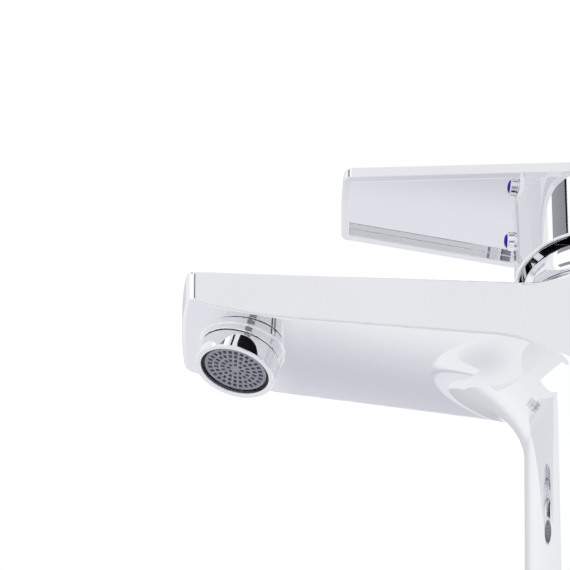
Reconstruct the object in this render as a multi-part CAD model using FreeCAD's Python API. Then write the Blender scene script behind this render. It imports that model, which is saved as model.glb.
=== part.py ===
import FreeCAD, Part
import math
import os

# Single-lever basin mixer. Millimetres, +Z up.
# Origin: centre of the face that rests on the basin. The spout and the lever point to -Y,
# so the hot side (the user's left) is -X and the cold side is +X.

V = FreeCAD.Vector
UP = V(0, 0, 1)

# ---------------------------------------------------------------- driving dimensions
# body
spout_top_height = 129.0      # top plane of the spout where it meets the axis, above the basin
column_foot_radius = 30.9
column_top_radius = 29.2
column_straight = 9.0         # straight part of the column below the underside fillet
seal_thickness = 2.0          # base seal under the column
base_groove_radius = 30.1
spout_reach = 143.5           # axis to the front of the spout, a round front about the axis
spout_root_half_width = 26.6  # at the axis
spout_tip_half_width = 20.2
spout_rise = 3.3              # degrees, the top plane climbs towards the tip
spout_root_depth = 24.2       # top to underside at the axis
spout_under_rise = 6.4        # degrees, the underside climbs faster, so the spout thins out
spout_lip_run = 38.0          # length of the upturned end of the underside
spout_lip_rise = 4.8
spout_edge_round = 1.0
spout_corner_round = 2.5
underside_fillet = 15.0
neck_fillet = 10.0
neck_radius = 28.3            # ball-shaped neck, centred on the lever's lifting axis
pivot_above_spout = 17.0      # lifting axis above the top plane
neck_above_pivot = 1.0        # flat top of the neck
cavity_radius = 25.0          # hollow column, open below
web_thickness = 26.0          # solid metal between the column hollow and the cartridge pocket
channel_radius = 4.5
# cartridge
cartridge_radius = 17.3
cartridge_wall = 2.1
cartridge_flange = 2.7        # flange outside the cartridge's wall
cartridge_flange_height = 5.0
cartridge_depth = 16.0        # pocket floor below the top plane of the spout
cartridge_top = 13.0          # top of the cartridge above the top plane of the spout
disc_thickness = 3.5
turret_neck_radius = 9.8
turret_flange_height = 5.0
stem_side = 8.0
stem_shank_radius = 2.3
stem_ball_radius = 3.2
slider_margin = 3.3           # disc carrier to the cartridge wall, fully open
seal_stand = 0.4              # port seals stand out of the base plate
cartridge_base_thickness = 4.0
limit_ring_width = 3.4
stem_arm = 14.0               # lifting axis to the middle of the stem's ball
port_radius = 3.0
port_spacing = 8.0            # axis to each inlet port
outlet_offset = 10.0
swing = 22.0                  # degrees that the lever lifts
turret_above_pivot = 4.0
pin_radius = 1.5
# lever
neck_clearance = 1.1          # neck to the inside of the skirt
skirt_wall = 1.4
skirt_gap = 2.2               # neck top to skirt rim
lever_reach = 89.4            # axis to tip
lever_tip_half_width = 17.2
lever_tip_round = 300.0
lever_corner = 3.0
lever_rise = 4.1              # degrees
lever_top_height = 49.7       # above the spout's top plane, on the axis
lever_thickness = 4.7
lever_edge_round = 1.3
recess_depth = 2.7
recess_rim = 2.7
skirt_roof = 6.5              # metal over the skirt's hollow
plug_radius = 3.25
plug_height = 38.2            # above the spout's top plane
plug_stand_out = 2.2
plug_depth = 3.2              # plug set into the skirt
plug_mark_radius = 2.3
plug_mark_depth = 0.3
rib_half = 5.2                # metal round the set screw
stem_hub_radius = 9.5
stem_hub_lift = 13.0          # lifting axis to the underside of the stem's hub
stem_reach = 26.0             # lifting axis to the top of the stem
screw_length = 8.0
screw_radius = 2.5
# aerator
aerator_tilt = 16.0           # degrees from straight down, towards the tip
aerator_setback = 20.2        # front of the spout to where the jet leaves the underside
aerator_drop = 9.0            # rim to the straight part of the underside, along the aerator's axis
housing_radius = 13.8
housing_height = 7.3
thread_step = 1.8             # housing to thread, radial
thread_length = 6.5
housing_wall = 2.0
seam_gap = 0.5                # groove between the housing and its boss
boss_step = 0.4               # boss outside the housing, radial
insert_step = 1.1             # bore to insert, radial
grid_recess = 1.2
grid_thickness = 2.0
# fixing under the basin
inlet_thread_radius = 5.0     # M10 x 1
inlet_depth = 14.0
inlet_spacing = 11.0
inlet_forward = 3.0
stud_radius = 4.0             # M8
stud_back = 15.0
stud_grip = 14.0
stud_below = 66.0
basin_thickness = 30.0        # basin that the clamp is drawn against
gasket_thickness = 3.0
clamp_thickness = 2.5
horseshoe_radius = 27.0
horseshoe_slot = 19.0
nut_across = 13.0
nut_height = 8.0
# clearances
running = 0.06                # radial, turning fits and threads
loose = 0.3                   # radial, pieces that only sit near each other

# ---------------------------------------------------------------- places that follow
top = spout_top_height
pivot_z = top + pivot_above_spout
neck_top = pivot_z + neck_above_pivot
pocket_floor = top - cartridge_depth
cartridge_roof = top + cartridge_top
cavity_roof = pocket_floor - web_thickness
skirt_rim = neck_top + skirt_gap
skirt_inner_radius = neck_radius + neck_clearance
skirt_outer_radius = skirt_inner_radius + skirt_wall
plug_seat = skirt_outer_radius - plug_depth
rise_slope = math.tan(math.radians(spout_rise))
under_slope = math.tan(math.radians(spout_under_rise))
lever_slope = math.tan(math.radians(lever_rise))
cartridge_bore = cartridge_radius - cartridge_wall
cartridge_flange_radius = cartridge_radius + cartridge_flange
nut_bore = cartridge_flange_radius + running
slide_travel = stem_arm * math.radians(swing)
slider_radius = cartridge_bore - slide_travel / 2 - slider_margin
limit_ring_radius = turret_neck_radius + limit_ring_width
aerator_forward = spout_reach - aerator_setback
thread_radius = housing_radius - thread_step
housing_bore = housing_radius - housing_wall
insert_radius = housing_bore - insert_step
boss_radius = housing_radius + boss_step
ball_z = pivot_z - stem_arm
stem_hub_low = pivot_z + stem_hub_lift
stem_top = pivot_z + stem_reach
taper_end = top - spout_root_depth - underside_fillet - column_straight
plate_top = pocket_floor + seal_stand + cartridge_base_thickness
carrier_top = cartridge_roof - 2.0 - loose - turret_flange_height - loose
plug_z = top + plug_height
# each ring of slots in the grid: share of the insert's radius, count, radial share, open share of the pitch
grid_rings = [(0.83, 28, 0.14, 0.62), (0.63, 22, 0.14, 0.60), (0.42, 16, 0.13, 0.58), (0.22, 8, 0.11, 0.55)]
port_places = [(-port_spacing, 0, port_radius), (port_spacing, 0, port_radius),
               (0, -outlet_offset, port_radius + 0.5)]


def top_z(y):
    return top - rise_slope * y


def under_z(y):
    return top - spout_root_depth - under_slope * y


def polygon_face(points):
    return Part.Face(Part.makePolygon(points + [points[0]]))


def wire_face(edges):
    return Part.Face(Part.Wire(Part.__sortEdges__(edges)))


def disc(radius, low, high, x=0.0, y=0.0):
    return Part.makeCylinder(radius, high - low, V(x, y, low), UP)


def ring(outer, inner, low, high):
    return disc(outer, low, high).cut(disc(inner, low - 1, high + 1))


def block(x_low, x_high, y_low, y_high, z_low, z_high):
    return Part.makeBox(x_high - x_low, y_high - y_low, z_high - z_low, V(x_low, y_low, z_low))


def rod(start, end, radius):
    axis = end.sub(start)
    return Part.makeCylinder(radius, axis.Length, start, axis)


def edges_near(shape, test):
    return [edge for edge in shape.Edges if test(edge.BoundBox, edge.CenterOfMass)]


def save(name, shape):
    os.makedirs("parts", exist_ok=True)
    shape.exportStep("parts/" + name + ".step")


# ---------------------------------------------------------------- body casting
def spout_profile():
    """Side view of the slab that the spout is cut from, reaching back past the column."""
    back = 60.0
    front = -spout_reach - 5.0
    lip_start = -spout_reach + spout_lip_run
    lip_end_z = under_z(-spout_reach) + spout_lip_rise
    lip_mid = (lip_start - spout_reach) / 2
    bend = Part.BezierCurve()
    bend.setPoles([V(0, lip_start, under_z(lip_start)),
                   V(0, lip_mid, under_z(lip_mid)),
                   V(0, -spout_reach, lip_end_z)])
    corners = [V(0, -spout_reach, lip_end_z),
               V(0, front, lip_end_z),
               V(0, front, top_z(front)),
               V(0, back, top_z(back)),
               V(0, back, under_z(back)),
               V(0, lip_start, under_z(lip_start))]
    lines = [Part.makeLine(a, b) for a, b in zip(corners, corners[1:])]
    return wire_face([bend.toShape()] + lines)


def spout_plan():
    """Top view of the spout: tapered sides and a front that is round about the axis."""
    side = math.sqrt(spout_reach ** 2 - spout_tip_half_width ** 2)
    left = V(-spout_tip_half_width, -side, 0)
    right = V(spout_tip_half_width, -side, 0)
    front = Part.Arc(left, V(0, -spout_reach, 0), right).toShape()
    corners = [right, V(spout_root_half_width, 0, 0), V(-spout_root_half_width, 0, 0), left]
    lines = [Part.makeLine(a, b) for a, b in zip(corners, corners[1:])]
    return wire_face([front] + lines)


def column_solid(upper):
    cone = Part.makeCone(column_foot_radius, column_top_radius, taper_end - seal_thickness,
                         V(0, 0, seal_thickness), UP)
    return cone.fuse(disc(column_top_radius, taper_end, upper)).removeSplitter()


def body_outside():
    half = 60.0
    slab = spout_profile()
    slab.translate(V(-half, 0, 0))
    slab = slab.extrude(V(2 * half, 0, 0))
    neck = Part.makeSphere(neck_radius, V(0, 0, pivot_z))
    neck = neck.common(block(-half, half, -half, half, top - 10, neck_top))
    shape = slab.fuse([column_solid(top - 5), neck]).removeSplitter()
    under = edges_near(shape, lambda box, mid: 50 < box.XLength < 70 and 50 < box.YLength < 70
                       and top - 45 < box.ZMin and box.ZMax < top - 15)
    shape = shape.makeFillet(underside_fillet, under)
    over = edges_near(shape, lambda box, mid: 30 < box.XLength < 56
                      and top - 5 < box.ZMin and box.ZMax < top + 5)
    shape = shape.makeFillet(neck_fillet, over)
    plan = spout_plan()
    plan.translate(V(0, 0, taper_end))
    plan = plan.extrude(V(0, 0, 2 * top))
    outline = plan.fuse(column_solid(2 * top)).removeSplitter()
    shape = shape.common(outline).removeSplitter()
    # in front of the fillets the spout is a plain wedge with rounded edges
    join = -column_top_radius - underside_fillet - 1.5
    beyond = block(-half, half, -2 * spout_reach, join, 0, 2 * top)
    return shape.cut(beyond).fuse(spout_wedge().common(beyond)).removeSplitter()


def spout_wedge():
    slab = spout_profile()
    slab.translate(V(-60, 0, 0))
    wedge = slab.extrude(V(120, 0, 0)).common(spout_plan().extrude(V(0, 0, 2 * top)))
    corners = edges_near(wedge, lambda box, mid: box.XLength < 0.1 and box.YLength < 0.1
                         and mid.y < -spout_reach + 10)
    wedge = wedge.makeFillet(spout_corner_round, corners)
    rim = edges_near(wedge, lambda box, mid: box.YMax < -0.1 or box.YLength > 20)
    rim = [edge for edge in rim if edge.BoundBox.XLength > 0.1 or edge.BoundBox.YLength > 0.1]
    rim = [edge for edge in rim if not lies_across(edge)]
    return wedge.makeFillet(spout_edge_round, rim)


def lies_across(edge):
    """True for the seam between the flat underside and its upturned end."""
    box = edge.BoundBox
    return box.YLength < 0.1 and box.XLength > 10


def body_casting():
    shape = body_outside()
    # boss that the aerator screws into
    boss = aerator_place(disc(boss_radius, housing_height, housing_height + thread_length + 6))
    shape = shape.fuse(boss)
    cuts = [disc(cartridge_radius + running, pocket_floor, top + 50),
            disc(nut_bore, cartridge_roof - cartridge_flange_height, top + 50),
            disc(cavity_radius, -1, cavity_roof),
            disc(base_groove_radius, -1, seal_thickness)]
    for side in (-1, 1):
        x = side * inlet_spacing
        cuts.append(disc(inlet_thread_radius, -1, cavity_roof + inlet_depth, x, -inlet_forward))
        cuts.append(disc(port_radius, cavity_roof, pocket_floor + 1, side * port_spacing, 0))
        bridge_z = cavity_roof + inlet_depth
        cuts.append(rod(V(x, -inlet_forward, bridge_z - 1), V(side * port_spacing, 0, bridge_z + 4), port_radius))
    cuts.append(disc(stud_radius, -1, cavity_roof + stud_grip, 0, stud_back))
    # outlet: down from the pocket, forward under it, then along the spout to the aerator
    knee = V(0, -outlet_offset - 6, pocket_floor - 11)
    throat = V(0, -34, top - 10)
    mouth = aerator_point(housing_height + thread_length + 3)
    cuts.append(rod(V(0, -outlet_offset, pocket_floor + 1), V(0, -outlet_offset, knee.z), channel_radius))
    cuts.append(rod(V(0, -outlet_offset, knee.z), knee, channel_radius))
    cuts.append(rod(knee, throat, channel_radius))
    cuts.append(rod(throat, mouth, channel_radius))
    for corner in (knee, throat, V(0, -outlet_offset, knee.z)):
        cuts.append(Part.makeSphere(channel_radius, corner))
    cuts.append(aerator_place(disc(thread_radius + running, -1, housing_height + thread_length + 1.5)))
    cuts.append(aerator_place(disc(boss_radius + 1, -1, housing_height)))
    cuts.append(aerator_place(disc(channel_radius + 2, 0, housing_height + thread_length + 3)))
    for tool in cuts:
        shape = shape.cut(tool)
    return shape


def aerator_point(height):
    """Point on the aerator's axis, height above its rim."""
    tilt = math.radians(aerator_tilt)
    root = V(0, -aerator_forward, under_z(-aerator_forward))
    rim = root.sub(V(0, math.sin(tilt), math.cos(tilt)).multiply(aerator_drop))
    return rim.add(V(0, math.sin(tilt), math.cos(tilt)).multiply(height))


def aerator_place(shape):
    """Stands a piece made about +Z, rim at zero, on the aerator's tilted axis."""
    shape.rotate(V(0, 0, 0), V(1, 0, 0), -aerator_tilt)
    shape.translate(aerator_point(0))
    return shape


def base_seal():
    return ring(base_groove_radius, cavity_radius + 1, 0, seal_thickness)


# ---------------------------------------------------------------- aerator
def aerator_housing():
    shell = Part.makeCone(housing_radius, boss_radius - 0.3, housing_height - seam_gap, V(0, 0, 0), UP)
    shell = shell.fuse(disc(thread_radius, 0, housing_height + thread_length))
    shell = shell.cut(disc(housing_bore, -1, housing_height - 1))
    shell = shell.cut(disc(insert_radius + running, -1, 100))
    rim = edges_near(shell, lambda box, mid: box.ZMax < 0.1 and box.ZMin > -0.1)
    return aerator_place(shell.makeFillet(0.5, rim))


def outlet_grid():
    plate = disc(insert_radius, grid_recess, grid_recess + grid_thickness)
    for place, count, depth_share, share in grid_rings:
        radius = place * insert_radius
        depth = depth_share * insert_radius
        slot = block(radius - depth / 2, radius + depth / 2, -math.pi * radius / count * share,
                     math.pi * radius / count * share, -1, grid_recess + grid_thickness + 1)
        slots = []
        for index in range(count):
            copy = slot.copy()
            copy.rotate(V(0, 0, 0), UP, 360.0 * index / count)
            slots.append(copy)
        plate = plate.cut(slots)
    return aerator_place(plate)


def aerator_insert():
    low = grid_recess + grid_thickness
    body = ring(insert_radius, insert_radius - 1.4, low, housing_height + thread_length - 1)
    shelf = disc(insert_radius - 1.4, low + 5, low + 7)
    holes = []
    for index in range(12):
        angle = 2 * math.pi * index / 12
        holes.append(disc(0.8, low, low + 8, 6 * math.cos(angle), 6 * math.sin(angle)))
    return aerator_place(body.fuse(shelf).cut(holes))


def aerator_strainer():
    low = housing_height + thread_length - 1
    dome = Part.makeCone(insert_radius - 0.2, insert_radius - 3, 1.8, V(0, 0, low), UP)
    inner = Part.makeCone(insert_radius - 1, insert_radius - 3.8, 1.8, V(0, 0, low - 0.6), UP)
    return aerator_place(dome.cut(inner))


def aerator_sleeve():
    """Black ring between the grid and the housing."""
    return aerator_place(ring(housing_bore - 0.02, insert_radius + 0.1, grid_recess + 1.2, housing_height - 1))


def aerator_seal():
    low = housing_height + thread_length
    return aerator_place(ring(thread_radius - 0.1, insert_radius + 0.1, low, low + 1.4))


# ---------------------------------------------------------------- cartridge
def cartridge_housing():
    wall_top = cartridge_roof - 2.0
    shell = disc(cartridge_radius, plate_top, cartridge_roof)
    shell = shell.fuse(disc(cartridge_flange_radius, cartridge_roof - cartridge_flange_height, cartridge_roof))
    shell = shell.cut(disc(cartridge_bore, plate_top - 1, wall_top))
    return shell.cut(disc(turret_neck_radius + running, wall_top - 1, cartridge_roof + 1))


def ported(shape, low, high):
    for side in (-1, 1):
        shape = shape.cut(disc(port_radius, low - 1, high + 1, side * port_spacing, 0))
    return shape.cut(disc(port_radius + 0.5, low - 1, high + 1, 0, -outlet_offset))


def cartridge_base():
    plate = ported(disc(cartridge_radius, pocket_floor + seal_stand, plate_top), pocket_floor, plate_top)
    for x, y, radius in port_places:
        plate = plate.cut(ring(radius + 2.0, radius, 0, 1.2).translated(V(x, y, pocket_floor + seal_stand)))
    return plate


def port_seals():
    seals = []
    for x, y, radius in port_places:
        seal = ring(radius + 2.0 - 0.05, radius + 0.3, 0, 1.2 + seal_stand)
        seal.translate(V(x, y, pocket_floor))
        seals.append(seal)
    return Part.makeCompound(seals)


def fixed_disc():
    return ported(disc(cartridge_bore, plate_top, plate_top + disc_thickness),
                  plate_top, plate_top + disc_thickness)


def moving_disc():
    low = plate_top + disc_thickness
    shape = disc(slider_radius, low, low + disc_thickness, 0, slide_travel / 2)
    pocket = Part.makeBox(12, 9, 2, V(-6, slide_travel / 2 - 4.5, low - 0.01))
    return shape.cut(pocket)


def disc_carrier():
    low = plate_top + 2 * disc_thickness
    shape = disc(slider_radius, low, carrier_top, 0, slide_travel / 2)
    return shape.cut(disc(stem_ball_radius + 0.25, ball_z - stem_ball_radius - 0.6, carrier_top + 1))


def turret():
    flange_low = cartridge_roof - 2.0 - loose - turret_flange_height
    shape = disc(cartridge_bore - running * 2, flange_low, flange_low + turret_flange_height)
    shape = shape.fuse(disc(turret_neck_radius, flange_low, pivot_z + turret_above_pivot))
    half = stem_side / 2 + 0.15
    lean = math.tan(math.radians(swing))
    spread = 1 / math.cos(math.radians(swing))
    forward = (pivot_z - flange_low) * lean + stem_shank_radius * spread + 1.5
    back = turret_above_pivot * lean + half * spread + 0.5
    shape = shape.cut(block(-half, half, -forward, back, flange_low - 1, pivot_z + turret_above_pivot + 1))
    pin = Part.makeCylinder(pin_radius, 40, V(-20, 0, pivot_z), V(1, 0, 0))
    return shape.cut(pin)


def pivot_pin():
    length = 2 * turret_neck_radius - 1.6
    return Part.makeCylinder(pin_radius, length, V(-length / 2, 0, pivot_z), V(1, 0, 0))


def hot_limit_ring():
    shape = ring(limit_ring_radius, turret_neck_radius + loose, cartridge_roof, cartridge_roof + 2)
    for index in range(8):
        tooth = block(limit_ring_radius - 0.6, limit_ring_radius + 1, -0.6, 0.6, cartridge_roof, cartridge_roof + 3)
        tooth.rotate(V(0, 0, 0), UP, 45.0 * index)
        shape = shape.cut(tooth)
    return shape


def cartridge_nut():
    shape = ring(cartridge_flange_radius, limit_ring_radius + loose, cartridge_roof, neck_top - 0.6)
    for index in range(6):
        notch = block(cartridge_flange_radius - 2.4, cartridge_flange_radius + 1, -2, 2, neck_top - 2.6, neck_top)
        notch.rotate(V(0, 0, 0), UP, 60.0 * index)
        shape = shape.cut(notch)
    return shape


def glide_ring():
    return ring(neck_radius - 1.2, nut_bore + 0.8, neck_top, neck_top + 1.4)


# ---------------------------------------------------------------- lever
def lever_outline(offset, length_offset):
    """Top view of the lever: round back about the axis, straight sides tangent to it, flat-curved tip."""
    radius = skirt_outer_radius - offset
    tip_half = lever_tip_half_width - offset
    tip_y = -lever_reach + length_offset
    # side line through the tip corner and tangent to the round back
    reach = math.hypot(tip_half, tip_y)
    turn = math.atan2(tip_y, tip_half) + math.acos(radius / reach)
    touch = V(radius * math.cos(turn), radius * math.sin(turn), 0)
    sag = tip_half ** 2 / (2 * lever_tip_round)
    right = V(tip_half, tip_y + sag, 0)
    left = V(-tip_half, tip_y + sag, 0)
    edges = [Part.Arc(touch, V(0, radius, 0), V(-touch.x, touch.y, 0)).toShape(),
             Part.makeLine(V(-touch.x, touch.y, 0), left),
             Part.Arc(left, V(0, tip_y, 0), right).toShape(),
             Part.makeLine(right, touch)]
    return wire_face(edges)


def lever_layer(low, high):
    """Slab between two levels above the basin on the axis, tilted as the lever is."""
    half = 60.0
    reach = lever_reach + 20
    points = [V(-half, -reach, low + lever_slope * reach), V(-half, half, low - lever_slope * half),
              V(-half, half, high - lever_slope * half), V(-half, -reach, high + lever_slope * reach)]
    return polygon_face(points).extrude(V(2 * half, 0, 0))


def lever_handle():
    roof = top + lever_top_height
    under = roof - lever_thickness
    plate = lever_outline(0, 0).extrude(V(0, 0, 2 * top))
    plate = plate.common(lever_layer(under, roof))
    corners = edges_near(plate, lambda box, mid: box.XLength < 0.1 and mid.y < -lever_reach + 5
                         and box.ZLength > 2)
    plate = plate.makeFillet(lever_corner, corners)
    crown = edges_near(plate, lambda box, mid: mid.z > roof - lever_thickness / 2 - lever_slope * mid.y)
    crown = [edge for edge in crown if edge.BoundBox.XLength > 0.2 or edge.BoundBox.YLength > 0.2]
    crown = [edge for edge in crown if on_lever_top(edge, roof)]
    plate = plate.makeFillet(lever_edge_round, crown)
    recess = lever_outline(recess_rim, recess_rim).extrude(V(0, 0, 2 * top))
    recess = recess.common(lever_layer(under - 1, under + recess_depth))
    recess = recess.cut(disc(skirt_outer_radius, 0, 2 * top))
    skirt = disc(skirt_outer_radius, skirt_rim, 2 * top).common(lever_layer(0, under + recess_depth + 0.5))
    rim = edges_near(skirt, lambda box, mid: box.ZMax < skirt_rim + 0.1)
    shape = plate.cut(recess).fuse(skirt.makeFillet(0.6, rim))
    hollow = disc(skirt_inner_radius, 0, roof - skirt_roof)
    hub = disc(stem_hub_radius, stem_hub_low, roof - skirt_roof + 1)
    rib = block(-rib_half, rib_half, -skirt_inner_radius - 0.5, 0, plug_z - rib_half, roof - skirt_roof + 1)
    rib = rib.common(disc(skirt_outer_radius - 0.2, 0, 2 * top))
    shape = shape.cut(hollow.cut([hub, rib]))
    half = stem_side / 2 + 0.05
    shape = shape.cut(block(-half, half, -half, half, stem_hub_low - 1, stem_top + 0.3))
    bore = Part.makeCylinder(screw_radius + 0.05, skirt_outer_radius, V(0, 0, plug_z), V(0, -1, 0))
    seat = Part.makeCylinder(plug_radius + 0.05, 20, V(0, -plug_seat, plug_z), V(0, -1, 0))
    return shape.cut([bore, seat])


def on_lever_top(edge, roof):
    for vertex in edge.Vertexes:
        point = vertex.Point
        if abs(point.z - (roof - lever_slope * point.y)) > 0.05:
            return False
    return True


def stem():
    half = stem_side / 2
    shape = block(-half, half, -half, half, pivot_z - 4, stem_top)
    shape = shape.fuse(disc(stem_shank_radius, ball_z, pivot_z - 3))
    shape = shape.fuse(Part.makeSphere(stem_ball_radius, V(0, 0, ball_z)))
    return shape.cut(Part.makeCylinder(pin_radius + running, 40, V(-20, 0, pivot_z), V(1, 0, 0)))


def set_screw():
    screw = Part.makeCylinder(screw_radius, screw_length, V(0, -stem_side / 2, plug_z), V(0, -1, 0))
    socket = Part.makeCylinder(1.3, 3, V(0, -stem_side / 2 - screw_length + 2.5, plug_z), V(0, -1, 0))
    return screw.cut(socket)


def index_plug():
    face_y = skirt_outer_radius + plug_stand_out
    plug = Part.makeCylinder(plug_radius, face_y - plug_seat, V(0, -plug_seat, plug_z), V(0, -1, 0))
    front = edges_near(plug, lambda box, mid: box.YMin < -face_y + 0.1 and box.YMax < -face_y + 0.1)
    plug = plug.makeFillet(0.6, front)
    return plug.cut(Part.makeCylinder(plug_mark_radius, 1, V(0, -face_y + plug_mark_depth, plug_z), V(0, -1, 0)))


def plug_mark(side):
    face_y = skirt_outer_radius + plug_stand_out
    mark = Part.makeCylinder(plug_mark_radius, plug_mark_depth, V(0, -face_y + plug_mark_depth, plug_z), V(0, -1, 0))
    low = min(0, side * 10)
    return mark.common(block(low, low + 10, -2 * face_y, 0, 0, 2 * top))


# ---------------------------------------------------------------- fixing under the basin
def fixing_stud():
    return disc(stud_radius, -stud_below, cavity_roof + stud_grip, 0, stud_back)


def horseshoe(low, high):
    plate = disc(horseshoe_radius, low, high)
    slot = block(-horseshoe_slot / 2, horseshoe_slot / 2, -horseshoe_radius - 1, stud_back - 9, low - 1, high + 1)
    slot = slot.fuse(disc(horseshoe_slot / 2, low - 1, high + 1, 0, 0))
    return plate.cut([slot, disc(stud_radius + loose, low - 1, high + 1, 0, stud_back)])


def clamp_gasket():
    return horseshoe(-basin_thickness - gasket_thickness, -basin_thickness)


def clamp_plate():
    high = -basin_thickness - gasket_thickness
    return horseshoe(high - clamp_thickness, high)


def clamp_nut():
    high = -basin_thickness - gasket_thickness - clamp_thickness
    points = []
    for index in range(6):
        angle = math.radians(60 * index)
        size = nut_across / math.sqrt(3)
        points.append(V(size * math.cos(angle), stud_back + size * math.sin(angle), high - nut_height))
    nut = polygon_face(points).extrude(V(0, 0, nut_height))
    return nut.cut(disc(stud_radius, high - 50, high + 1, 0, stud_back))


pieces = {
    "body_casting": body_casting,
    "base_seal": base_seal,
    "aerator_housing": aerator_housing,
    "aerator_outlet_grid": outlet_grid,
    "aerator_insert": aerator_insert,
    "aerator_strainer": aerator_strainer,
    "aerator_sleeve": aerator_sleeve,
    "aerator_seal": aerator_seal,
    "cartridge_housing": cartridge_housing,
    "cartridge_base": cartridge_base,
    "cartridge_port_seals": port_seals,
    "ceramic_disc_fixed": fixed_disc,
    "ceramic_disc_moving": moving_disc,
    "disc_carrier": disc_carrier,
    "turret": turret,
    "pivot_pin": pivot_pin,
    "hot_limit_ring": hot_limit_ring,
    "cartridge_nut": cartridge_nut,
    "glide_ring": glide_ring,
    "lever_handle": lever_handle,
    "lever_stem": stem,
    "lever_set_screw": set_screw,
    "index_plug": index_plug,
    "cold_mark": lambda: plug_mark(1),
    "hot_mark": lambda: plug_mark(-1),
    "fixing_stud": fixing_stud,
    "clamp_gasket": clamp_gasket,
    "clamp_plate": clamp_plate,
    "clamp_nut": clamp_nut,
}

for name, make in pieces.items():
    save(name, make())
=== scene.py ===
import bmesh, bpy, math, openvdb
import numpy as np
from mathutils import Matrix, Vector


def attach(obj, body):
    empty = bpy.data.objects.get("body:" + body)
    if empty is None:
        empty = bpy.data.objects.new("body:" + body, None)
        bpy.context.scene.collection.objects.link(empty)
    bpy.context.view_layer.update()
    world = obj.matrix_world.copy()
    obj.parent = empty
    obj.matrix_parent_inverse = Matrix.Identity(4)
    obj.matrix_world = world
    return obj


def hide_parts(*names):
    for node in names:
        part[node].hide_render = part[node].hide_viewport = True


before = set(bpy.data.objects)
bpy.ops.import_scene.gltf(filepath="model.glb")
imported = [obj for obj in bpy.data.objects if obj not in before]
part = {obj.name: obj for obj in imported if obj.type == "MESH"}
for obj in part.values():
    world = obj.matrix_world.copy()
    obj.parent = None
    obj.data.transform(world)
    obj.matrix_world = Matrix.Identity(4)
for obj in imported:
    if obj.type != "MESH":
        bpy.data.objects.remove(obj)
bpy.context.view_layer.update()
scene = bpy.context.scene


# The studio: one pale floor well below the tap, a white surround that greys gently
# towards the lens, and a camera that looks up at the spout from its side.
scene.view_settings.view_transform = "Standard"
camera_data = bpy.data.cameras.new("camera")
camera_data.lens = 379.0
camera_data.sensor_width = 36.0
camera_data.clip_end = 60.0
camera = bpy.data.objects.new("camera", camera_data)
scene.collection.objects.link(camera)
towards_camera = Vector((0.7953, -0.0194, -0.6060)).normalized()
camera.location = Vector((0.0, -0.1088, 0.147)) + 2.034 * towards_camera
camera.rotation_euler = towards_camera.to_track_quat("Z", "Y").to_euler()
scene.camera = camera

bpy.ops.mesh.primitive_plane_add(size=14.0, location=(0.0, 0.0, -1.336))
floor = bpy.context.object
floor.name = "floor"
floor_paint = bpy.data.materials.new("floor_paint")
floor_paint.use_nodes = True
paint = floor_paint.node_tree
paint_shader = paint.nodes["Principled BSDF"]
paint_shader.inputs["Roughness"].default_value = 0.9
paint_noise = paint.nodes.new("ShaderNodeTexNoise")
paint_noise.inputs["Scale"].default_value = 0.6
paint_ramp = paint.nodes.new("ShaderNodeValToRGB")
paint_ramp.color_ramp.elements[0].color = (0.92, 0.92, 0.925, 1)
paint_ramp.color_ramp.elements[1].color = (0.96, 0.96, 0.965, 1)
paint.links.new(paint_noise.outputs["Fac"], paint_ramp.inputs["Fac"])
paint.links.new(paint_ramp.outputs["Color"], paint_shader.inputs["Base Color"])
floor.data.materials.append(floor_paint)

surround = bpy.data.worlds.new("surround")
scene.world = surround
surround.use_nodes = True
sky = surround.node_tree
sky_direction = sky.nodes.new("ShaderNodeTexCoord")
sky_split = sky.nodes.new("ShaderNodeSeparateXYZ")
sky_ramp = sky.nodes.new("ShaderNodeValToRGB")
sky_ramp.color_ramp.elements[0].position = 0.15
sky_ramp.color_ramp.elements[0].color = (1.02, 1.02, 1.02, 1)
sky_ramp.color_ramp.elements[1].position = 0.75
sky_ramp.color_ramp.elements[1].color = (0.91, 0.91, 0.925, 1)
sky_scale = sky.nodes.new("ShaderNodeMath")
sky_scale.operation = "MULTIPLY_ADD"
sky_scale.inputs[1].default_value = 0.5
sky_scale.inputs[2].default_value = 0.5
sky.links.new(sky_direction.outputs["Generated"], sky_split.inputs["Vector"])
sky.links.new(sky_split.outputs["X"], sky_scale.inputs[0])
sky.links.new(sky_scale.outputs["Value"], sky_ramp.inputs["Fac"])
sky.links.new(sky_ramp.outputs["Color"], sky.nodes["Background"].inputs["Color"])


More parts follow.
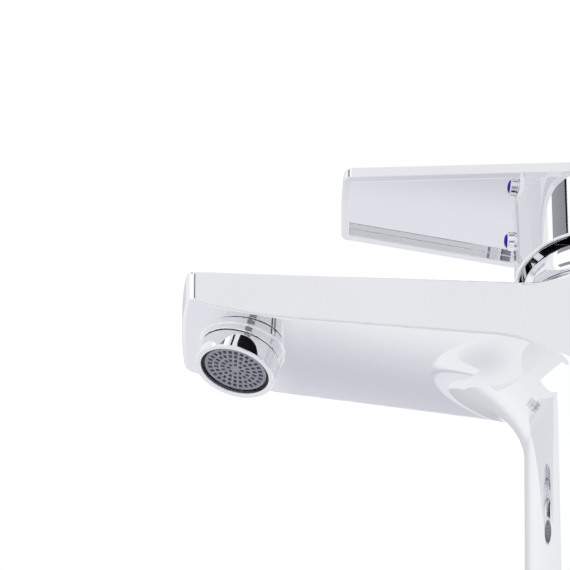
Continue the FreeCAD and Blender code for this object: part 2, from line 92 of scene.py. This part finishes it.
# Cards round the set, out of the lens's sight: white softboxes that the plating mirrors as broad
# highlights, greyer boards that shade it, and black flags that draw the dark lines on it.
def card(name, place, facing, width, height, stops, pooled=False):
    """A glowing card; its stops are (share across it or in to its middle, brightness, blue tint)."""
    bpy.ops.mesh.primitive_plane_add(size=1.0)
    board = bpy.context.object
    board.name = name
    board.scale = (width, height, 1.0)
    board.location = place
    board.rotation_euler = Vector(facing).to_track_quat("Z", "Y").to_euler()
    board.visible_camera = False
    cloth = bpy.data.materials.new(name + "_cloth")
    cloth.use_nodes = True
    weave = cloth.node_tree
    weave.nodes.clear()
    spread = weave.nodes.new("ShaderNodeTexCoord")
    fade = weave.nodes.new("ShaderNodeValToRGB")
    glow = weave.nodes.new("ShaderNodeEmission")
    end = weave.nodes.new("ShaderNodeOutputMaterial")
    ramp = fade.color_ramp
    ramp.interpolation = "EASE"
    for share, brightness, tint in stops[2:]:
        ramp.elements.new(share)
    for stop, (share, brightness, tint) in zip(ramp.elements, sorted(stops)):
        stop.position = share
        stop.color = (brightness, brightness, brightness + tint, 1)
    if pooled:
        centred = weave.nodes.new("ShaderNodeMapping")
        centred.inputs["Location"].default_value = (-1.0, -1.0, 0.0)
        centred.inputs["Scale"].default_value = (2.0, 2.0, 1.0)
        pool = weave.nodes.new("ShaderNodeTexGradient")
        pool.gradient_type = "SPHERICAL"
        weave.links.new(spread.outputs["Generated"], centred.inputs["Vector"])
        weave.links.new(centred.outputs["Vector"], pool.inputs["Vector"])
        weave.links.new(pool.outputs["Fac"], fade.inputs["Fac"])
    else:
        split = weave.nodes.new("ShaderNodeSeparateXYZ")
        weave.links.new(spread.outputs["Generated"], split.inputs["Vector"])
        weave.links.new(split.outputs["X"], fade.inputs["Fac"])
    weave.links.new(fade.outputs["Color"], glow.inputs["Color"])
    weave.links.new(glow.outputs["Emission"], end.inputs["Surface"])
    board.data.materials.append(cloth)


def round_the_set(azimuth, elevation, distance):
    turn, lift = math.radians(azimuth), math.radians(elevation)
    out = Vector((math.cos(lift) * math.cos(turn), math.cos(lift) * math.sin(turn), math.sin(lift)))
    return Vector((0.0, -0.08, 0.124)) + distance * out, -out


white = [(0.0, 1.15, 0.0), (1.0, 1.15, 0.0)]
black = [(0.0, 0.0, 0.0), (1.0, 0.01, 0.0)]
card("softbox_front", *round_the_set(-52, 33, 1.3), 0.95, 1.5, white)
card("flag_back", *round_the_set(53, 29, 2.0), 3.4, 1.9, black)
# behind the column, for its grey left edge and the far side of the spout's fillet
card("board_side", *round_the_set(-154, 8, 2.0), 1.7, 4.0,
     [(0.0, 1.0, 0.0), (1.0, 0.64, 0.03), (0.15, 0.98, 0.01), (0.60, 0.74, 0.03)])
# small and near: the grey and the black line on the lever's skirt, and the line down the spout's tip
card("board_skirt", (0.205, -0.373, 0.495), (-0.385, 0.70, -0.60), 0.145, 0.13,
     [(0.0, 0.30, 0.03), (1.0, 0.36, 0.03)])
card("flag_skirt", (0.274, -0.329, 0.495), (-0.49, 0.63, -0.60), 0.022, 0.13, black)
card("flag_tip", (0.2145, -0.172, 0.2695), (-0.79, 0.12, -0.60), 0.020, 0.045, black)
# round the lens, for the thin line along every edge that turns past it
card("flag_lens", 1.6 * towards_camera, -towards_camera, 0.5, 0.5, [(0.0, 0.25, 0.0), (1.0, 0.25, 0.0)])
# below, for the column's soft grey band and the shading across the flat undersides
card("board_front", *round_the_set(-120, -43, 1.2), 2.2, 1.2, [(0.0, 0.95, 0.01), (1.0, 0.66, 0.05)],
     pooled=True)
card("board_below", (-0.60, -0.15, -0.286), (0, 0, 1), 0.5, 0.8,
     [(0.0, 0.96, 0.0), (1.0, 0.88, 0.03), (0.31, 0.97, 0.01), (0.415, 0.66, 0.06), (0.50, 0.86, 0.04)])


# Marks that every worked surface carries, shared by all the materials: broad soft smudges
# and a fine grain, both measured on the piece itself.
marks = bpy.data.node_groups.new("surface_marks", "ShaderNodeTree")
marks.interface.new_socket("Smudge Size", in_out="INPUT", socket_type="NodeSocketFloat")
marks.interface.new_socket("Grain Size", in_out="INPUT", socket_type="NodeSocketFloat")
marks.interface.new_socket("Smudge", in_out="OUTPUT", socket_type="NodeSocketFloat")
marks.interface.new_socket("Grain", in_out="OUTPUT", socket_type="NodeSocketFloat")
marks_in = marks.nodes.new("NodeGroupInput")
marks_out = marks.nodes.new("NodeGroupOutput")
marks_place = marks.nodes.new("ShaderNodeTexCoord")
for size_name, mark_name, detail in (("Smudge Size", "Smudge", 2.0), ("Grain Size", "Grain", 6.0)):
    cloud = marks.nodes.new("ShaderNodeTexNoise")
    cloud.inputs["Detail"].default_value = detail
    marks.links.new(marks_place.outputs["Object"], cloud.inputs["Vector"])
    marks.links.new(marks_in.outputs[size_name], cloud.inputs["Scale"])
    marks.links.new(cloud.outputs["Fac"], marks_out.inputs[mark_name])


def finish_of(name, clean, worn, rough_low, rough_high, metal=0.0, smudge=40.0, grain=900.0, bump=0.0, edge=0.0):
    """A material whose colour drifts between clean and worn, and whose gloss follows its grain."""
    material = bpy.data.materials.new(name)
    material.use_nodes = True
    tree = material.node_tree
    shader = tree.nodes["Principled BSDF"]
    shader.inputs["Metallic"].default_value = metal
    group = tree.nodes.new("ShaderNodeGroup")
    group.node_tree = marks
    group.inputs["Smudge Size"].default_value = smudge
    group.inputs["Grain Size"].default_value = grain
    colour = tree.nodes.new("ShaderNodeValToRGB")
    colour.color_ramp.elements[0].position = 0.35
    colour.color_ramp.elements[0].color = (*clean, 1)
    colour.color_ramp.elements[1].position = 0.75
    colour.color_ramp.elements[1].color = (*worn, 1)
    rough = tree.nodes.new("ShaderNodeMapRange")
    rough.inputs["To Min"].default_value = rough_low
    rough.inputs["To Max"].default_value = rough_high
    tree.links.new(group.outputs["Smudge"], colour.inputs["Fac"])
    tree.links.new(colour.outputs["Color"], shader.inputs["Base Color"])
    tree.links.new(group.outputs["Grain"], rough.inputs["Value"])
    tree.links.new(rough.outputs["Result"], shader.inputs["Roughness"])
    if edge:
        rounding = tree.nodes.new("ShaderNodeBevel")
        rounding.samples = 6
        rounding.inputs["Radius"].default_value = edge
        tree.links.new(rounding.outputs["Normal"], shader.inputs["Normal"])
    if bump:
        relief = tree.nodes.new("ShaderNodeBump")
        relief.inputs["Distance"].default_value = bump
        tree.links.new(group.outputs["Grain"], relief.inputs["Height"])
        tree.links.new(relief.outputs["Normal"], shader.inputs["Normal"])
    return material


def dress(material, slot, *names):
    for name in names:
        part[name].data.materials.clear()
        part[name].data.materials.append(material)


# The body is one casting: a round column that widens to its foot, a wedge-shaped spout that thins
# towards a turned-up lip, and a ball-shaped neck. Every meeting of two faces is a rolled fillet,
# so the shell is made from the faces' distances and the radii that blend them.
chrome = finish_of("polished_chrome", (0.87, 0.88, 0.90), (0.85, 0.86, 0.885), 0.02, 0.05, metal=1.0,
                   smudge=25.0, grain=300.0)


def sharp_round(a, b, radius):
    corner = np.hypot(np.maximum(radius + a, 0.0), np.maximum(radius + b, 0.0))
    return np.minimum(-radius, np.maximum(a, b)) + corner


def fillet_round(a, b, radius):
    corner = np.hypot(np.maximum(radius - a, 0.0), np.maximum(radius - b, 0.0))
    return np.maximum(radius, np.minimum(a, b)) - corner


def soft_join(a, b, width):
    near = np.maximum(width - np.abs(a - b), 0.0) / width
    return np.minimum(a, b) - near * near * width / 4.0


def casting_distance(x, y, z):
    """Millimetres from the casting's surface, below zero in the metal."""
    out = np.hypot(x, y)
    column = out - np.clip(30.87 - (z - 2.0) * 0.0212, 29.2, 30.87)
    above = (z - 129.0 + 0.05766 * y) * 0.998
    centre = np.sqrt(out * out + (z - 146.0) ** 2)
    ball = centre - 28.3
    # the ball overhangs the spout, and a 10 mm fillet rolls between the two
    round_the_ball = np.sqrt(np.maximum(centre ** 2 - (above - 16.97) ** 2, 0.0))
    rolled = 10.0 - np.hypot(round_the_ball - 37.66, above - 10.0)
    under_the_line = (above - 16.97) * 37.66 < (10.0 - 16.97) * round_the_ball
    in_the_corner = (round_the_ball < 37.66) & under_the_line
    roof = np.minimum(above, ball)
    roof = np.where(in_the_corner, np.minimum(roof, rolled), roof)
    lip = 4.8 * (np.maximum(-105.5 - y, 0.0) / 38.0) ** 2
    below = (104.8 - 0.11217 * y + lip - z) * 0.985
    belly = fillet_round(column, below, 15.0 + 16.0 * np.maximum(1.0 - (x / 25.0) ** 2, 0.0))
    front = out - 143.49
    side = (np.abs(x) - 26.6 - 0.04505 * y) * 0.999
    plan = np.maximum(sharp_round(side, front, 2.5), y)
    plan = soft_join(plan, column, 5.0)
    spout = np.maximum(sharp_round(roof, plan, 1.0), sharp_round(belly, plan, 1.0))
    core = np.maximum(sharp_round(roof, column, 1.0), belly)
    shell = sharp_round(np.minimum(spout, core), z - 147.0, 0.5)
    along = (y + 126.07) * 0.27564 + (z - 110.04) * 0.96126
    away = np.hypot(x, (y + 126.07) * 0.96126 - (z - 110.04) * 0.27564)
    boss = np.maximum(sharp_round(away - 14.2, 7.3 - along, 0.25), along - 18.0)
    shell = fillet_round(shell, boss, 0.5)
    hollow = np.minimum(np.maximum(away - 12.1, along - 14.0), np.maximum(out - 25.0, z - 87.0))
    pocket = np.minimum(np.maximum(out - 17.4, 113.0 - z), np.maximum(out - 20.1, 137.0 - z))
    shell = np.maximum(shell, -np.minimum(hollow, pocket))
    return np.maximum(shell, 2.0 - z)


def casting_slope(points, step=0.02):
    x, y, z = points.T
    slope = np.empty_like(points)
    slope[:, 0] = casting_distance(x + step, y, z) - casting_distance(x - step, y, z)
    slope[:, 1] = casting_distance(x, y + step, z) - casting_distance(x, y - step, z)
    slope[:, 2] = casting_distance(x, y, z + step) - casting_distance(x, y, z - step)
    return slope / (2.0 * step)


cell = 0.5
low = np.array([-34.0, -145.0, 0.5])
counts = (137, 358, 295)
places = [low[axis] + cell * np.arange(counts[axis]) for axis in range(3)]
field = np.empty(counts, np.float32)
for layer, x in enumerate(places[0]):
    field[layer] = casting_distance(x, places[1][:, None], places[2][None, :])
grid = openvdb.FloatGrid(2.0)
grid.copyFromArray(np.clip(field, -2.0, 2.0))
points, quads = grid.convertToQuads(0.0)
points = low + cell * np.asarray(points, float)
for _ in range(4):
    slope = casting_slope(points)
    reach = casting_distance(*points.T) / np.maximum((slope ** 2).sum(1), 0.25)
    points -= slope * np.clip(reach, -0.4, 0.4)[:, None]
normals = casting_slope(points)
normals /= np.maximum(np.linalg.norm(normals, axis=1), 1e-6)[:, None]
quads = np.asarray(quads, int)
first = quads[0]
facing = np.cross(points[first[1]] - points[first[0]], points[first[2]] - points[first[0]])
if facing @ normals[first[0]] < 0.0:
    quads = quads[:, ::-1]
shell_mesh = bpy.data.meshes.new("body_shell")
shell_mesh.from_pydata((points / 1000.0).tolist(), [], quads.tolist())
shell_mesh.polygons.foreach_set("use_smooth", [True] * len(shell_mesh.polygons))
shell_mesh.normals_split_custom_set_from_vertices(normals.tolist())
body_shell = bpy.data.objects.new("body_shell", shell_mesh)
scene.collection.objects.link(body_shell)
shell_mesh.materials.append(chrome)
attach(body_shell, "faucet")
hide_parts("body_casting")


# The aerator: a plated housing screwed to its boss, a near-black sleeve in it, whose black also paints the shade
# in the gap between grid and housing, and a satin grey cartridge whose face is a grid of short slots in rings.
plated_edges = finish_of("chrome_with_soft_edges", (0.87, 0.88, 0.90), (0.85, 0.86, 0.885), 0.02, 0.05,
                         metal=1.0, smudge=25.0, grain=300.0, edge=0.0005)
dress(plated_edges, "polished_chrome", "aerator_housing")
# near-black plastic for the sleeve and glide ring; on the sleeve it is also painted shade for the dark ring
# between grid and housing
black_plastic = finish_of("black_plastic", (0.006, 0.006, 0.008), (0.012, 0.012, 0.015), 0.40, 0.55)
dress(black_plastic, "black_plastic", "aerator_sleeve", "glide_ring")
grey_plastic = finish_of("grey_plastic", (0.31, 0.31, 0.37), (0.26, 0.26, 0.31), 0.35, 0.50, smudge=400.0)
dress(grey_plastic, "grey_plastic", "aerator_outlet_grid", "aerator_insert", "aerator_strainer")
black_rubber = finish_of("black_rubber", (0.015, 0.015, 0.016), (0.03, 0.03, 0.03), 0.55, 0.75, bump=0.00005)
dress(black_rubber, "black_rubber", "aerator_seal", "base_seal", "cartridge_port_seals", "clamp_gasket")


# The lever: a flat tapered plate with a shallow recess underneath and a drum-shaped skirt
# that covers the cartridge. A round plug with the cold and hot marks closes its screw hole.
dress(plated_edges, "polished_chrome", "lever_handle", "index_plug")
steel = finish_of("turned_steel", (0.55, 0.55, 0.57), (0.47, 0.47, 0.49), 0.22, 0.36, metal=1.0, grain=1500.0)
dress(steel, "steel", "lever_stem", "lever_set_screw", "pivot_pin")
blue_enamel = finish_of("blue_enamel", (0.03, 0.02, 0.55), (0.05, 0.03, 0.45), 0.10, 0.18, smudge=300.0)
blue_enamel.node_tree.nodes["Principled BSDF"].inputs["Specular IOR Level"].default_value = 0.04

red_enamel = finish_of("red_enamel", (0.60, 0.01, 0.01), (0.50, 0.02, 0.02), 0.10, 0.18, smudge=300.0)
for mark, side, enamel in (("cold_mark", 1, blue_enamel), ("hot_mark", -1, red_enamel)):
    bpy.ops.mesh.primitive_uv_sphere_add(segments=32, ring_count=16, radius=1.0, location=(0.0, -0.0330, 0.1672))
    dome = bpy.context.object
    dome.name = mark + "_dome"
    dome.scale = (0.0024, 0.0011, 0.0024)
    half = bmesh.new()
    half.from_mesh(dome.data)
    bmesh.ops.bisect_plane(half, geom=half.verts[:] + half.edges[:] + half.faces[:], plane_co=(0, 0, 0),
                           plane_no=(side, 0, 0), clear_inner=True)
    half.to_mesh(dome.data)
    half.free()
    for face in dome.data.polygons:
        face.use_smooth = True
    dome.data.materials.append(enamel)
    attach(dome, "lever")
    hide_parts(mark)


# The cartridge: white moulded housing and turret, two lapped ceramic discs, a red stop ring
# that limits the hot side, and the brass nut that holds it all in the neck.
white_plastic = finish_of("white_plastic", (0.78, 0.78, 0.75), (0.70, 0.70, 0.67), 0.35, 0.50, smudge=120.0)
dress(white_plastic, "white_plastic", "cartridge_housing", "cartridge_base", "disc_carrier", "turret")
red_plastic = finish_of("red_plastic", (0.50, 0.02, 0.015), (0.42, 0.02, 0.02), 0.35, 0.50)
dress(red_plastic, "red_plastic", "hot_limit_ring")
ceramic = finish_of("ceramic", (0.86, 0.86, 0.82), (0.80, 0.80, 0.76), 0.08, 0.16)
dress(ceramic, "ceramic", "ceramic_disc_fixed", "ceramic_disc_moving")
brass = finish_of("turned_brass", (0.78, 0.57, 0.25), (0.66, 0.46, 0.19), 0.18, 0.34, metal=1.0, grain=1200.0)
dress(brass, "brass", "cartridge_nut", "clamp_nut")


# The fixing under the basin: a zinc-plated stud and a horseshoe plate
# that draws the tap down on its seals.
zinc = finish_of("zinc_plate", (0.58, 0.60, 0.60), (0.46, 0.48, 0.50), 0.26, 0.42, metal=1.0, smudge=90.0)
dress(zinc, "zinc_steel", "fixing_stud", "clamp_plate")
